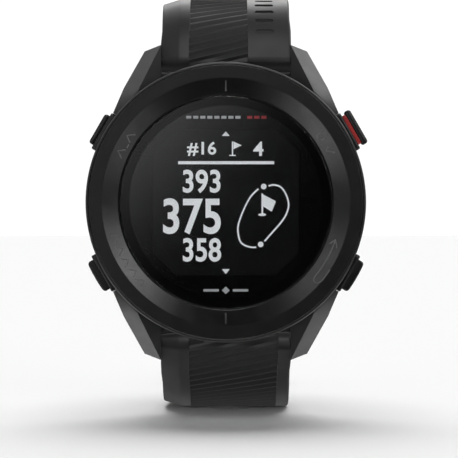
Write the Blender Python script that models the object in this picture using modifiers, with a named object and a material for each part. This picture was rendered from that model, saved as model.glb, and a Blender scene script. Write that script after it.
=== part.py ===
"""Golf GPS watch: round polymer case, four side buttons and a two-piece silicone strap.

Everything is laid out in the watch's own frame, which one empty stands upright:
X runs to 3 o'clock, Y to 12 o'clock, and Z from the case back out through the lens.
In the world the face looks along -Y, 12 o'clock is up, and the origin is the middle of the case back.
Each strap half and each button has its own frame, held by an empty on its joint's axis.
"""
import math

import bmesh
import bpy
from mathutils import Vector

MM = 0.001
WELD = 1e-6
SLIVER = 0.004 * MM
OVERRUN = 2.0 * MM  # how far a cutter runs past what it cuts

# Case
CASE_RADIUS = 21.95 * MM
CASE_BORE = 17.6 * MM
CASE_BOTTOM = 1.5 * MM
CASE_SEAT = 9.6 * MM
RIM_RADIUS = 21.5 * MM
RIM_TOP = 10.7 * MM
APERTURE_RADIUS = 15.0 * MM
LENS_SEAT = 8.8 * MM
ROUND_STEPS = 60

# Bezel and lens
BEZEL_TOP = 11.5 * MM
BEZEL_RADIUS = 21.4 * MM
BEZEL_FLAT_RADIUS = 19.4 * MM
BEZEL_BORE = 16.85 * MM
LENS_RADIUS = 16.6 * MM
LENS_TOP = 11.0 * MM
JOINT_GAP = 0.3 * MM

# Display stack
WINDOW_HALF = 11.4 * MM
WINDOW_CHAMFER = 3.5 * MM

# Back cover
COVER_RADIUS = 20.9 * MM
COVER_THICKNESS = 1.2 * MM
SCREW_CIRCLE = 19.1 * MM
SCREW_ANGLES = (55, 125, 235, 305)
PORT_Y = -13.0 * MM
PIN_PITCH = 2.0 * MM

# Lugs and spring bars
LUG_GAP = 20.5 * MM
LUG_REACH = 24.95 * MM
BAR_Y = 22.6 * MM
BAR_HEIGHT = 3.5 * MM
BAR_RADIUS = 0.8 * MM
BAR_BORE = 0.5 * MM
PIN_RADIUS = 0.38 * MM
LEVER_TRAVEL = 1.2 * MM

# Buttons: name, clock angle in degrees, radius of the outer face, rounded outer face
BUTTONS = (("up", 150, 23.45 * MM, False), ("ok", 30, 24.2 * MM, False),
           ("down", 210, 23.8 * MM, True), ("back", 330, 23.8 * MM, True))
BUTTON_HEIGHT = 5.7 * MM
BUTTON_LENGTH = 5.3 * MM
OK_BUTTON_LENGTH = 6.0 * MM
BUTTON_DEPTH = 2.6 * MM
STEM_RADIUS = 0.65 * MM
STEM_END = 17.2 * MM
COLLAR_FACE = 22.6 * MM
COLLAR_FLOOR = 21.85 * MM
SLEEVE_RADIUS = 1.65 * MM

# Strap: the outer face leaves the lug at an angle and runs back in straights and arcs
STRAP_WIDTH = 20.3 * MM
STRAP_END_WIDTH = 18.0 * MM
STRAP_THICKNESS = 3.2 * MM
STRAP_END_THICKNESS = 2.6 * MM
BOSS_RADIUS = 2.0 * MM
BOSS_PROUD = 0.2 * MM  # how far the strap's end bead stands over its faces
BOSS_OVERHANG = 0.05 * MM  # how far the bead round the spring bar runs past each side
EDGE_CHAMFER = (3.0 * MM, 1.0 * MM)
UPPER_ANGLE = 28
UPPER_RUNS = ((1.4 * MM, 0), (17.5 * MM, 62), (36.6 * MM, 28), (26.0 * MM, 0))
LOWER_ANGLE = 38
LOWER_RUNS = ((1.35 * MM, 0), (20.0 * MM, 52), (46.0 * MM, 0), (45.4 * MM, 20))
TAPER_START = 22.0 * MM
TAPER_LENGTH = 30.0 * MM
TIP_LENGTH = 8.0 * MM
TIP_SWEEP = 80  # degrees of the half round before it is cut square
SLOT_LENGTH = 6.6 * MM
SLOT_WIDTH = 1.9 * MM
SLOT_FIRST = 20.2 * MM
SLOT_PITCH = 7.0 * MM
SLOT_COUNT = 12

# Buckle
BUCKLE_BAR_RADIUS = 0.7 * MM
BUCKLE_BOSS_RADIUS = 1.55 * MM
FRAME_INSIDE = 18.6 * MM
FRAME_OUTSIDE = 22.4 * MM
FRAME_END = 12.0 * MM
FRAME_BACK = -1.7 * MM
FRAME_THICKNESS = 2.6 * MM
TANG_WIDTH = 5.4 * MM
KEEPER_LENGTH = 5.0 * MM
FIXED_KEEPER_AT = -6.5 * MM
FREE_KEEPER_AT = -16.5 * MM

COLOURS = {
    "case": ((0.075, 0.077, 0.080), 0.48, 0.0),
    "bezel": ((0.022, 0.022, 0.023), 0.38, 0.0),
    "lens": ((0.012, 0.012, 0.013), 0.05, 0.0),
    "mask": ((0.006, 0.006, 0.006), 0.30, 0.0),
    "display": ((0.05, 0.05, 0.055), 0.25, 0.0),
    "guide": ((0.75, 0.78, 0.80), 0.20, 0.0),
    "plastic": ((0.03, 0.03, 0.03), 0.50, 0.0),
    "board": ((0.01, 0.12, 0.05), 0.45, 0.0),
    "steel": ((0.62, 0.62, 0.63), 0.28, 1.0),
    "gold": ((0.85, 0.62, 0.25), 0.25, 1.0),
    "pouch": ((0.55, 0.56, 0.58), 0.40, 0.6),
    "rubber": ((0.02, 0.02, 0.02), 0.70, 0.0),
    "strap": ((0.032, 0.032, 0.033), 0.62, 0.0),
    "button": ((0.018, 0.018, 0.019), 0.35, 0.0),
    "red": ((0.62, 0.02, 0.015), 0.35, 0.0),
    "dark_steel": ((0.08, 0.08, 0.085), 0.32, 1.0),
}


# ---------------------------------------------------------------- scene helpers

def clear_scene():
    for obj in list(bpy.data.objects):
        bpy.data.objects.remove(obj, do_unlink=True)


def new_collection(name):
    collection = bpy.data.collections.new(name)
    bpy.context.scene.collection.children.link(collection)
    return collection


def new_material(name):
    colour, roughness, metallic = COLOURS[name]
    material = bpy.data.materials.new(name)
    material.use_nodes = True
    shader = material.node_tree.nodes["Principled BSDF"]
    shader.inputs["Base Color"].default_value = (*colour, 1.0)
    shader.inputs["Roughness"].default_value = roughness
    shader.inputs["Metallic"].default_value = metallic
    return material


def new_empty(name, parent, location=(0, 0, 0), rotation=(0, 0, 0)):
    holder = bpy.data.objects.new(name, None)
    PARTS.objects.link(holder)
    holder.parent = parent
    holder.location = location
    holder.rotation_euler = rotation
    return holder


def new_object(name, data, look, parent, location=(0, 0, 0), rotation=(0, 0, 0)):
    """A part when it has a look, a cutter or a body to join when look is None."""
    obj = bpy.data.objects.new(name, data)
    obj.parent = parent
    obj.location = location
    obj.rotation_euler = rotation
    if look is None:
        CUTTERS.objects.link(obj)
        obj.hide_render = True
        obj.display_type = "WIRE"
    else:
        PARTS.objects.link(obj)
        data.materials.append(new_material_for(look, name))
        data.shade_smooth()
        data.set_sharp_from_angle(angle=math.radians(35))
    return obj


def new_material_for(look, name):
    material = new_material(look)
    material.name = name + "_" + look
    return material


def mesh_from(name, bm):
    mesh = bpy.data.meshes.new(name)
    bm.to_mesh(mesh)
    bm.free()
    return mesh


# ---------------------------------------------------------------- shape helpers

def arc(centre, radius, start, end, count):
    """Points on an arc from start to end degrees, both ends included."""
    angles = [math.radians(start + (end - start) * i / (count - 1)) for i in range(count)]
    return [(centre[0] + radius * math.cos(a), centre[1] + radius * math.sin(a)) for a in angles]


def rounded_rectangle(width, depth, radius, count=4, centre=(0, 0)):
    across = width / 2 - radius
    along = depth / 2 - radius
    corners = ((1, 1, 0), (-1, 1, 90), (-1, -1, 180), (1, -1, 270))
    points = []
    for side_x, side_y, start in corners:
        middle = (centre[0] + side_x * across, centre[1] + side_y * along)
        points += arc(middle, radius, start, start + 90, count)
    return points


def octagon(half, chamfer):
    short = half - chamfer
    corners = ((half, short), (short, half))
    points = []
    for sign_x, sign_y in ((1, 1), (-1, 1), (-1, -1), (1, -1)):
        pair = [(sign_x * x, sign_y * y) for x, y in corners]
        points += pair if sign_x * sign_y > 0 else pair[::-1]
    return points


def circle(radius, count, centre=(0, 0)):
    return arc(centre, radius, 0, 360 * (count - 1) / count, count)


def turned(name, profile, look, parent, steps=ROUND_STEPS, location=(0, 0, 0), rotation=(0, 0, 0)):
    """Turn a profile of (radius, height), which runs down its outer side, about the local Z axis."""
    mesh = bpy.data.meshes.new(name)
    points = [(radius, 0.0, height) for radius, height in profile]
    edges = [(i, i + 1) for i in range(len(points) - 1)]
    if min(radius for radius, _ in profile) > 0:
        edges.append((len(points) - 1, 0))
    mesh.from_pydata(points, edges, [])
    obj = new_object(name, mesh, look, parent, location, rotation)
    screw = obj.modifiers.new("Turn", "SCREW")
    screw.angle = math.tau
    screw.steps = steps
    screw.render_steps = steps
    screw.use_merge_vertices = True
    screw.merge_threshold = WELD
    screw.use_smooth_shade = True
    return obj


def tube_profile(inner, outer, bottom, top):
    return [(outer, top), (outer, bottom), (inner, bottom), (inner, top)]


def plate(name, outlines, thickness, look, parent, location=(0, 0, 0), rotation=(0, 0, 0)):
    """Fill closed outlines, an outer one and any holes, and give them a thickness along local Z."""
    curve = bpy.data.curves.new(name, "CURVE")
    curve.dimensions = "2D"
    curve.fill_mode = "BOTH"
    curve.extrude = thickness / 2
    for outline in outlines:
        spline = curve.splines.new("POLY")
        spline.points.add(len(outline) - 1)
        for point, (x, y) in zip(spline.points, outline):
            point.co = (x, y, 0, 1)
        spline.use_cyclic_u = True
    return as_mesh(name, curve, look, parent, location, rotation)


def as_mesh(name, curve, look, parent, location, rotation):
    """Make a curve a welded mesh object in the same place."""
    source = bpy.data.objects.new(name + "_curve", curve)
    bpy.context.scene.collection.objects.link(source)
    evaluated = source.evaluated_get(bpy.context.evaluated_depsgraph_get())
    mesh = bpy.data.meshes.new_from_object(evaluated)
    bpy.data.objects.remove(source, do_unlink=True)
    bm = bmesh.new()
    bm.from_mesh(mesh)
    bmesh.ops.remove_doubles(bm, verts=bm.verts, dist=WELD)
    bm.to_mesh(mesh)
    bm.free()
    mesh.name = name
    return new_object(name, mesh, look, parent, location, rotation)


def rod(name, radius, start, end, look, parent, location=(0, 0, 0), steps=14):
    """A cylinder along the local X axis from start to end."""
    bm = bmesh.new()
    bmesh.ops.create_cone(bm, cap_ends=True, segments=steps, radius1=radius, radius2=radius,
                          depth=end - start)
    place = Vector(((start + end) / 2, 0, 0))
    bmesh.ops.rotate(bm, verts=bm.verts, matrix=AXIS_TO_X)
    bmesh.ops.translate(bm, verts=bm.verts, vec=place)
    return new_object(name, mesh_from(name, bm), look, parent, location)


def box(name, low, high, look, parent, location=(0, 0, 0), rotation=(0, 0, 0)):
    bm = bmesh.new()
    bmesh.ops.create_cube(bm, size=1.0)
    low, high = Vector(low), Vector(high)
    bmesh.ops.scale(bm, verts=bm.verts, vec=high - low)
    bmesh.ops.translate(bm, verts=bm.verts, vec=(low + high) / 2)
    return new_object(name, mesh_from(name, bm), look, parent, location, rotation)


def bevel(obj, width, segments=1, angle=40):
    modifier = obj.modifiers.new("Bevel", "BEVEL")
    modifier.width = width
    modifier.segments = segments
    modifier.limit_method = "ANGLE"
    modifier.angle_limit = math.radians(angle)
    return obj


def combine(obj, other, operation):
    modifier = obj.modifiers.new(other.name, "BOOLEAN")
    modifier.operation = operation
    modifier.solver = "EXACT"
    modifier.object = other
    return obj


def weld(obj):
    """Close the hair-thin slivers that a chain of cuts can leave."""
    modifier = obj.modifiers.new("Weld", "WELD")
    modifier.merge_threshold = SLIVER
    return obj


def cut(obj, *others):
    for other in others:
        combine(obj, other, "DIFFERENCE")
    return obj


def join(obj, *others):
    for other in others:
        combine(obj, other, "UNION")
    return obj


# ---------------------------------------------------------------- case

def lug(name, side_x, side_y):
    """One lug: a ridge runs from its tip to the case between a narrow outer and an inner facet."""
    inner = LUG_GAP / 2
    ridge_top = 8.8 * MM
    corners = [
        (inner, LUG_REACH, 4.6 * MM), (12.9 * MM, LUG_REACH - 0.95 * MM, 3.1 * MM),
        (13.6 * MM, 17.9 * MM, ridge_top), (14.6 * MM, 14.6 * MM, ridge_top),
        (16.1 * MM, 18.0 * MM, 6.3 * MM), (18.0 * MM, 13.6 * MM, 6.3 * MM),
        (inner, 18.3 * MM, 6.5 * MM), (inner, 17.6 * MM, 6.5 * MM),
        (inner, LUG_REACH, 1.4 * MM), (12.7 * MM, LUG_REACH - 1.0 * MM, 1.4 * MM),
        (inner, LUG_REACH - 0.9 * MM, 0.8 * MM), (12.2 * MM, LUG_REACH - 1.7 * MM, 0.8 * MM),
        (16.0 * MM, 16.6 * MM, 1.5 * MM), (17.2 * MM, 13.4 * MM, 1.6 * MM),
        (inner, 17.6 * MM, 1.6 * MM), (14.0 * MM, 13.6 * MM, 1.6 * MM),
    ]
    bm = bmesh.new()
    for x, y, z in corners:
        bm.verts.new((side_x * x, side_y * y, z))
    hull = bmesh.ops.convex_hull(bm, input=bm.verts)
    inside = [item for item in hull["geom_interior"] if isinstance(item, bmesh.types.BMVert)]
    bmesh.ops.delete(bm, geom=inside, context="VERTS")
    bmesh.ops.recalc_face_normals(bm, faces=bm.faces)
    return new_object(name, mesh_from(name, bm), None, WATCH)


def make_case():
    profile = [
        (21.64 * MM, RIM_TOP), (21.85 * MM, 10.5 * MM), (CASE_RADIUS, 10.1 * MM),
        (CASE_RADIUS, 4.6 * MM), (21.6 * MM, 2.4 * MM), (21.0 * MM, CASE_BOTTOM),
        (CASE_BORE, CASE_BOTTOM), (CASE_BORE, 7.8 * MM), (APERTURE_RADIUS, 7.8 * MM),
        (APERTURE_RADIUS, LENS_SEAT), (17.0 * MM, LENS_SEAT), (17.0 * MM, CASE_SEAT),
        (RIM_RADIUS, CASE_SEAT), (RIM_RADIUS, 10.55 * MM),
    ]
    case = turned("case_middle", profile, "case", WATCH)
    for side_y, row in ((1, "upper"), (-1, "lower")):
        for side_x, side in ((-1, "left"), (1, "right")):
            join(case, lug("lug_%s_%s" % (row, side), side_x, side_y))
        web_y = sorted((side_y * 18.2 * MM, side_y * 21.4 * MM))
        join(case, box("web_" + row, (-LUG_GAP / 2 - 0.4 * MM, web_y[0], 1.7 * MM),
                       (LUG_GAP / 2 + 0.4 * MM, web_y[1], 5.6 * MM), None, WATCH))
    for side_y, row in ((1, "upper"), (-1, "lower")):
        centre = (0, side_y * BAR_Y, BAR_HEIGHT)
        scoop = rod(row + "_scoop", BOSS_RADIUS + JOINT_GAP, -LUG_GAP / 2, LUG_GAP / 2, None,
                    WATCH, centre, steps=24)
        reach = LUG_GAP / 2 + 1.1 * MM
        holes = rod(row + "_pin_holes", PIN_RADIUS + 0.14 * MM, -reach, reach, None, WATCH,
                    centre, steps=10)
        cut(case, scoop, holes)
    for index, angle in enumerate(SCREW_ANGLES):
        x, y = arc((0, 0), SCREW_CIRCLE, angle, angle, 2)[0]
        cut(case, turned("screw_hole_%d" % (index + 1),
                         [(0, 4.9 * MM), (0.75 * MM, 4.9 * MM), (0.75 * MM, 0), (0, 0)],
                         None, WATCH, 10, (x, y, 0)))
    return case


def make_bezel():
    bottom = CASE_SEAT + JOINT_GAP
    profile = [
        (BEZEL_FLAT_RADIUS, BEZEL_TOP), (21.3 * MM, BEZEL_TOP), (BEZEL_RADIUS, 11.4 * MM),
        (BEZEL_RADIUS, bottom), (BEZEL_BORE, bottom), (BEZEL_BORE, 10.95 * MM),
    ]
    turned("bezel", profile, "bezel", WATCH)


def make_lens():
    bottom = CASE_SEAT + JOINT_GAP
    edge = 0.2 * MM
    profile = [(0, LENS_TOP), (LENS_RADIUS - edge, LENS_TOP), (LENS_RADIUS, LENS_TOP - edge),
               (LENS_RADIUS, bottom), (0, bottom)]
    turned("lens", profile, "lens", WATCH)
    turned("lens_gasket", tube_profile(15.75 * MM, 16.55 * MM, 9.1 * MM, 9.6 * MM), "rubber",
           WATCH, 28)


def make_display():
    outlines = [circle(15.45 * MM, 32), octagon(WINDOW_HALF, WINDOW_CHAMFER)]
    plate("display_mask", outlines, 0.3 * MM, "mask", WATCH, (0, 0, 9.45 * MM))
    panel = [octagon(12.0 * MM, 4.0 * MM)]
    plate("display_panel", panel, 0.9 * MM, "display", WATCH, (0, 0, 8.55 * MM))
    guide = [octagon(11.8 * MM, 3.9 * MM)]
    plate("backlight_guide", guide, 0.5 * MM, "guide", WATCH, (0, 0, 7.55 * MM))
    flex_slot = rounded_rectangle(12 * MM, 2 * MM, 0.6 * MM, 3, (0, -13.4 * MM))
    outlines = [circle(17.2 * MM, 32), flex_slot]
    plate("display_frame", outlines, 0.4 * MM, "plastic", WATCH, (0, 0, 6.8 * MM))


def make_electronics():
    flex_slot = rounded_rectangle(12 * MM, 1.6 * MM, 0.5 * MM, 3, (0, -14.6 * MM))
    plate("main_board", [circle(17.2 * MM, 32), flex_slot], 0.7 * MM, "board", WATCH,
          (0, 0, 4.5 * MM))
    band = arc((0, 0), 17.2 * MM, 60, 120, 13) + arc((0, 0), 15.9 * MM, 120, 60, 13)
    plate("gps_antenna", [band], 1.1 * MM, "gold", WATCH, (0, 0, 5.7 * MM))
    bm = bmesh.new()
    bmesh.ops.create_cube(bm, size=1.0)
    bmesh.ops.scale(bm, verts=bm.verts, vec=(13 * MM, 9 * MM, 1.2 * MM))
    floor = [face for face in bm.faces if face.normal.z < -0.5]
    bmesh.ops.delete(bm, geom=floor, context="FACES_ONLY")
    shield = new_object("rf_shield", mesh_from("rf_shield", bm), "steel", WATCH,
                        (0, 4.5 * MM, 5.75 * MM))
    skin = shield.modifiers.new("Sheet", "SOLIDIFY")
    skin.thickness = 0.2 * MM
    skin.offset = -1
    cell = [rounded_rectangle(21 * MM, 21 * MM, 1.5 * MM, 4)]
    bevel(plate("battery", cell, 2.5 * MM, "pouch", WATCH, (0, 0, 2.6 * MM)), 0.4 * MM)


def make_back():
    ring_top = COVER_THICKNESS + 1.2 * MM
    profile = [
        (0, COVER_THICKNESS), (15.6 * MM, COVER_THICKNESS), (15.6 * MM, ring_top),
        (16.6 * MM, ring_top), (16.6 * MM, COVER_THICKNESS), (COVER_RADIUS, COVER_THICKNESS),
        (COVER_RADIUS, 0.7 * MM), (20.2 * MM, 0), (0, 0),
    ]
    cover = turned("back_cover", profile, "case", WATCH, 48)
    opening = plate("port_opening", [rounded_rectangle(8.4 * MM, 3.6 * MM, 0.8 * MM, 3)],
                    3 * OVERRUN, None, WATCH, (0, PORT_Y, 0))
    cut(cover, opening)
    turned("back_gasket", tube_profile(16.75 * MM, 17.45 * MM, 1.5 * MM, 2.2 * MM), "rubber",
           WATCH, 28)
    for index, angle in enumerate(SCREW_ANGLES):
        x, y = arc((0, 0), SCREW_CIRCLE, angle, angle, 2)[0]
        number = index + 1
        well = [(0, 2.0 * MM), (0.75 * MM, 2.0 * MM), (0.75 * MM, 0.75 * MM),
                (1.35 * MM, 0.75 * MM), (1.35 * MM, -OVERRUN), (0, -OVERRUN)]
        cut(cover, turned("screw_well_%d" % number, well, None, WATCH, 14, (x, y, 0)))
        make_screw("case_screw_%d" % number, (x, y, 0))


def make_screw(name, location):
    """Pan head screw with a six-sided socket, head down in its well."""
    profile = [(0, 4.4 * MM), (0.35 * MM, 4.4 * MM), (0.6 * MM, 4.1 * MM), (0.6 * MM, 0.65 * MM),
               (1.15 * MM, 0.65 * MM), (1.15 * MM, 0.25 * MM), (1.0 * MM, 0.1 * MM), (0, 0.1 * MM)]
    screw = turned(name, profile, "steel", WATCH, 12, location)
    socket = [(0, 0.45 * MM), (0.5 * MM, 0.45 * MM), (0.5 * MM, -OVERRUN), (0, -OVERRUN)]
    cut(screw, turned(name + "_socket", socket, None, WATCH, 6, location))


def make_charge_port():
    body = [rounded_rectangle(8.0 * MM, 3.2 * MM, 0.7 * MM, 3)]
    port = plate("charge_port", body, 1.4 * MM, "plastic", WATCH, (0, PORT_Y, 0.8 * MM))
    for index in range(4):
        x = (index - 1.5) * PIN_PITCH
        hole = [(0, 2 * MM), (0.6 * MM, 2 * MM), (0.6 * MM, -OVERRUN), (0, -OVERRUN)]
        cut(port, turned("contact_hole_%d" % (index + 1), hole, None, WATCH, 10, (x, PORT_Y, 0)))
        pin = [(0, 3.9 * MM), (0.25 * MM, 3.9 * MM), (0.25 * MM, 1.9 * MM), (0.48 * MM, 1.9 * MM),
               (0.48 * MM, 0.3 * MM), (0.35 * MM, 0.2 * MM), (0, 0.2 * MM)]
        turned("contact_pin_%d" % (index + 1), pin, "gold", WATCH, 10, (x, PORT_Y, 0))


# ---------------------------------------------------------------- buttons

def head_outline(face, base, length, rounded):
    """Outline of a button head seen from the front, from its base out to its face."""
    half = length / 2
    corner = 0.45 * MM
    if not rounded:
        top = arc((face - corner, half - corner), corner, 90, 0, 4)
        return [(base, half)] + top + [(x, -y) for x, y in reversed(top)] + [(base, -half)]
    spread = math.degrees(math.asin((half - 0.3 * MM) / face))
    crown = arc((0, 0), face, spread, -spread, 9)
    shoulder = face * math.cos(math.radians(spread)) - 0.3 * MM
    return [(base, half), (shoulder, half)] + crown + [(shoulder, -half), (base, -half)]


def make_button(case, name, angle, face, rounded):
    """Button with its collar, seal and switch, in a frame whose X axis is the way it presses."""
    frame = new_empty(name + "_axis", WATCH, (0, 0, BUTTON_HEIGHT), (0, 0, math.radians(angle)))
    length = OK_BUTTON_LENGTH if name == "ok" else BUTTON_LENGTH
    base = 23.15 * MM if name == "ok" else 22.45 * MM

    outline = head_outline(face, base, length, rounded)
    button = plate(name + "_button", [outline], BUTTON_DEPTH, "button", frame)
    bevel(button, 0.3 * MM)
    join(button, rod(name + "_stem", STEM_RADIUS, STEM_END, base + 0.5 * MM, None, frame, steps=12))
    if name == "ok":
        ring = [rounded_rectangle(BUTTON_DEPTH - 0.3 * MM, length - 0.8 * MM, 0.5 * MM, 3),
                circle(STEM_RADIUS + 0.15 * MM, 12)]
        place = (22.78 * MM, 0, 0)
        plate("ok_button_ring", ring, 0.65 * MM, "red", frame, place, (0, math.pi / 2, 0))

    wall = 0.4 * MM
    bottom = 21.3 * MM
    side = (BUTTON_LENGTH + 2 * wall + 0.2 * MM) / 2
    depth = (BUTTON_DEPTH + 2 * wall + 0.2 * MM) / 2
    collar = box(name + "_collar", (bottom, -side, -depth), (COLLAR_FACE, side, depth), "button",
                 frame)
    bevel(collar, 0.25 * MM)
    sleeve = rod(name + "_sleeve", SLEEVE_RADIUS, 17.9 * MM, COLLAR_FLOOR - 0.1 * MM, None, frame)
    join(collar, sleeve)
    recess = box(name + "_recess", (COLLAR_FLOOR, -side + wall, -depth + wall),
                 (COLLAR_FACE + OVERRUN, side - wall, depth - wall), None, frame)
    bore = rod(name + "_bore", 1.25 * MM, 17.0 * MM, COLLAR_FACE, None, frame, steps=12)
    cut(collar, recess, bore)

    pocket = box(name + "_pocket", (bottom - 0.15 * MM, -side - 0.15 * MM, -depth - 0.15 * MM),
                 (CASE_RADIUS + OVERRUN, side + 0.15 * MM, depth + 0.15 * MM), None, frame)
    hole = rod(name + "_hole", SLEEVE_RADIUS + 0.15 * MM, 16.0 * MM, CASE_RADIUS, None, frame)
    cut(case, pocket, hole)

    ring = [(0.95 * MM + 0.2 * MM * math.cos(a), 0.2 * MM * math.sin(a))
            for a in (-math.tau * i / 6 for i in range(6))]
    turned(name + "_seal", ring, "rubber", frame, 12, (19.6 * MM, 0, 0), (0, math.pi / 2, 0))

    switch = box(name + "_switch", (14.8 * MM, -1.6 * MM, -0.55 * MM),
                 (16.35 * MM, 1.6 * MM, 0.55 * MM), "plastic", frame)
    join(switch, rod(name + "_plunger", 0.35 * MM, 16.1 * MM, 16.6 * MM, None, frame, steps=8))


# ---------------------------------------------------------------- strap

def strap_stations(angle, runs):
    """Walk the outer face. Each station is (length so far, y, z, angle below the face plane)."""
    turn = math.radians(angle)
    y = (BOSS_RADIUS - BOSS_PROUD) * math.sin(turn)
    z = (BOSS_RADIUS - BOSS_PROUD) * math.cos(turn)
    walked = 0.0
    stations = [(walked, y, z, turn)]
    for length, bend in runs:
        count = max(math.ceil(abs(bend) / 6.5), 2)
        for _ in range(count):
            half = math.radians(bend) / count / 2
            step = length / count
            chord = step * (math.sin(half) / half if half else 1.0)
            turn += half
            y += chord * math.cos(turn)
            z -= chord * math.sin(turn)
            turn += half
            walked += step
            stations.append((walked, y, z, turn))
    return stations


def strap_point(stations, at):
    """Place and angle of a length along the outer face, between its two nearest stations."""
    for before, after in zip(stations, stations[1:]):
        if at <= after[0]:
            part = (at - before[0]) / (after[0] - before[0])
            return [a + (b - a) * part for a, b in zip(before[1:], after[1:])]
    return list(stations[-1][1:])


def strap_half_width(at):
    part = min(max((at - TAPER_START) / TAPER_LENGTH, 0.0), 1.0)
    return (STRAP_WIDTH + (STRAP_END_WIDTH - STRAP_WIDTH) * part) / 2


def strap_section(half, thickness, chamfer_side):
    """Cross section as (x, depth below the outer face): one edge has a wide chamfer."""
    soft = 0.35 * MM
    wide = EDGE_CHAMFER[0] * min(half / (STRAP_WIDTH / 2), 1.0)
    ring = [(-half, EDGE_CHAMFER[1]), (-half + wide, 0), (half - soft, 0), (half, soft),
            (half, thickness - soft), (half - soft, thickness), (-half + soft, thickness),
            (-half, thickness - soft)]
    return [(x * chamfer_side, depth) for x, depth in ring]


def strap_body(name, stations, chamfer_side, tip, look, parent):
    """Loft the cross section along the stations; a tip closes in a half round."""
    total = stations[-1][0]
    spans = [(station[0], strap_half_width(station[0])) for station in stations]
    if tip:
        shoulder = total - TIP_LENGTH
        spans = [span for span in spans if span[0] < shoulder]
        for i in range(7):
            turn = math.radians(TIP_SWEEP * i / 6)
            at = shoulder + TIP_LENGTH * math.sin(turn)
            spans.append((at, strap_half_width(at) * math.cos(turn)))
    bm = bmesh.new()
    rings = []
    for at, half in spans:
        y, z, turn = strap_point(stations, at)
        thickness = STRAP_THICKNESS + (STRAP_END_THICKNESS - STRAP_THICKNESS) * at / total
        ring = []
        for x, depth in strap_section(half, thickness, chamfer_side):
            place = (x, y - depth * math.sin(turn), z - depth * math.cos(turn))
            ring.append(bm.verts.new(place))
        rings.append(ring)
    for first, second in zip(rings, rings[1:]):
        for i, corner in enumerate(first):
            after = (i + 1) % len(first)
            bm.faces.new((corner, first[after], second[after], second[i]))
    bm.faces.new(rings[0])
    bm.faces.new(rings[-1])
    bmesh.ops.recalc_face_normals(bm, faces=bm.faces)
    return new_object(name, mesh_from(name, bm), look, parent)


def make_bar(half, strap, hinge, angle):
    """Quick-release spring bar in the strap end: tube, fixed pin, sliding pin with lever, spring."""
    frame = new_empty(half + "_bar_frame", hinge, (0, 0, 0), (-math.radians(angle), 0, 0))
    width = STRAP_WIDTH / 2
    bead = width + BOSS_OVERHANG
    join(strap, rod(half + "_boss", BOSS_RADIUS, -bead, bead, None, frame, steps=20))
    cut(strap, rod(half + "_bar_hole", BAR_RADIUS + 0.15 * MM, -width - OVERRUN, width + OVERRUN,
                   None, frame, steps=12))
    window = (5.1 * MM, 8.2 * MM)
    cut(strap, box(half + "_lever_window", (window[0], -1.25 * MM, -4 * MM),
                   (window[1], 1.25 * MM, -0.2 * MM), None, frame))

    tube = rod(half + "_bar_tube", BAR_RADIUS, -9.6 * MM, 9.6 * MM, "steel", frame, steps=12)
    cut(tube, rod(half + "_tube_bore", BAR_BORE, -width - OVERRUN, width + OVERRUN, None, frame,
                  steps=12))
    cut(tube, box(half + "_tube_window", (window[0], -0.4 * MM, -OVERRUN),
                  (window[1], 0.4 * MM, -0.1 * MM), None, frame))
    reach = LUG_GAP / 2 + 0.85 * MM
    rod(half + "_bar_fixed_pin", PIN_RADIUS, -reach, -1.5 * MM, "steel", frame, steps=10)
    pin = rod(half + "_bar_sliding_pin", PIN_RADIUS, 5.2 * MM, reach, "steel", frame, steps=10)
    lever = box(half + "_lever", (6.7 * MM, -0.28 * MM, -2.12 * MM), (7.9 * MM, 0.28 * MM, 0),
                None, frame)
    join(pin, lever)
    make_spring(half + "_bar_spring", -1.3 * MM, 5.2 * MM - LEVER_TRAVEL - 0.1 * MM, frame)


def make_spring(name, start, end, parent):
    curve = bpy.data.curves.new(name, "CURVE")
    curve.dimensions = "3D"
    curve.bevel_depth = 0.07 * MM
    curve.bevel_resolution = 1
    curve.use_fill_caps = True
    turns = 5
    per_turn = 8
    spline = curve.splines.new("POLY")
    spline.points.add(turns * per_turn)
    for index, point in enumerate(spline.points):
        angle = math.tau * index / per_turn
        x = start + (end - start) * index / (turns * per_turn)
        radius = 0.36 * MM
        point.co = (x, radius * math.cos(angle), radius * math.sin(angle), 1)
    return as_mesh(name, curve, "steel", parent, (0, 0, 0), (0, 0, 0))


def make_upper_strap():
    hinge = new_empty("upper_hinge", WATCH, (0, BAR_Y, BAR_HEIGHT))
    stations = strap_stations(UPPER_ANGLE, UPPER_RUNS)
    strap = strap_body("upper_strap", stations, 1, False, "strap", hinge)
    make_bar("upper", strap, hinge, UPPER_ANGLE)
    make_buckle(strap, hinge, stations)


def make_lower_strap():
    hinge = new_empty("lower_hinge", WATCH, (0, -BAR_Y, BAR_HEIGHT), (0, 0, math.pi))
    stations = strap_stations(LOWER_ANGLE, LOWER_RUNS)
    strap = strap_body("lower_strap", stations, -1, True, "strap", hinge)
    make_bar("lower", strap, hinge, LOWER_ANGLE)
    half_round = SLOT_WIDTH / 2
    straight = SLOT_LENGTH / 2 - half_round
    outline = (arc((straight, 0), half_round, -90, 90, 5)
               + arc((-straight, 0), half_round, 90, 270, 5))
    for index in range(SLOT_COUNT):
        y, z, turn = strap_point(stations, SLOT_FIRST + index * SLOT_PITCH)
        cutter = plate("slot_%d" % (index + 1), [outline], 4 * STRAP_THICKNESS, None, hinge,
                       (0, y, z), (-turn, 0, 0))
        cut(strap, cutter)


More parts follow.
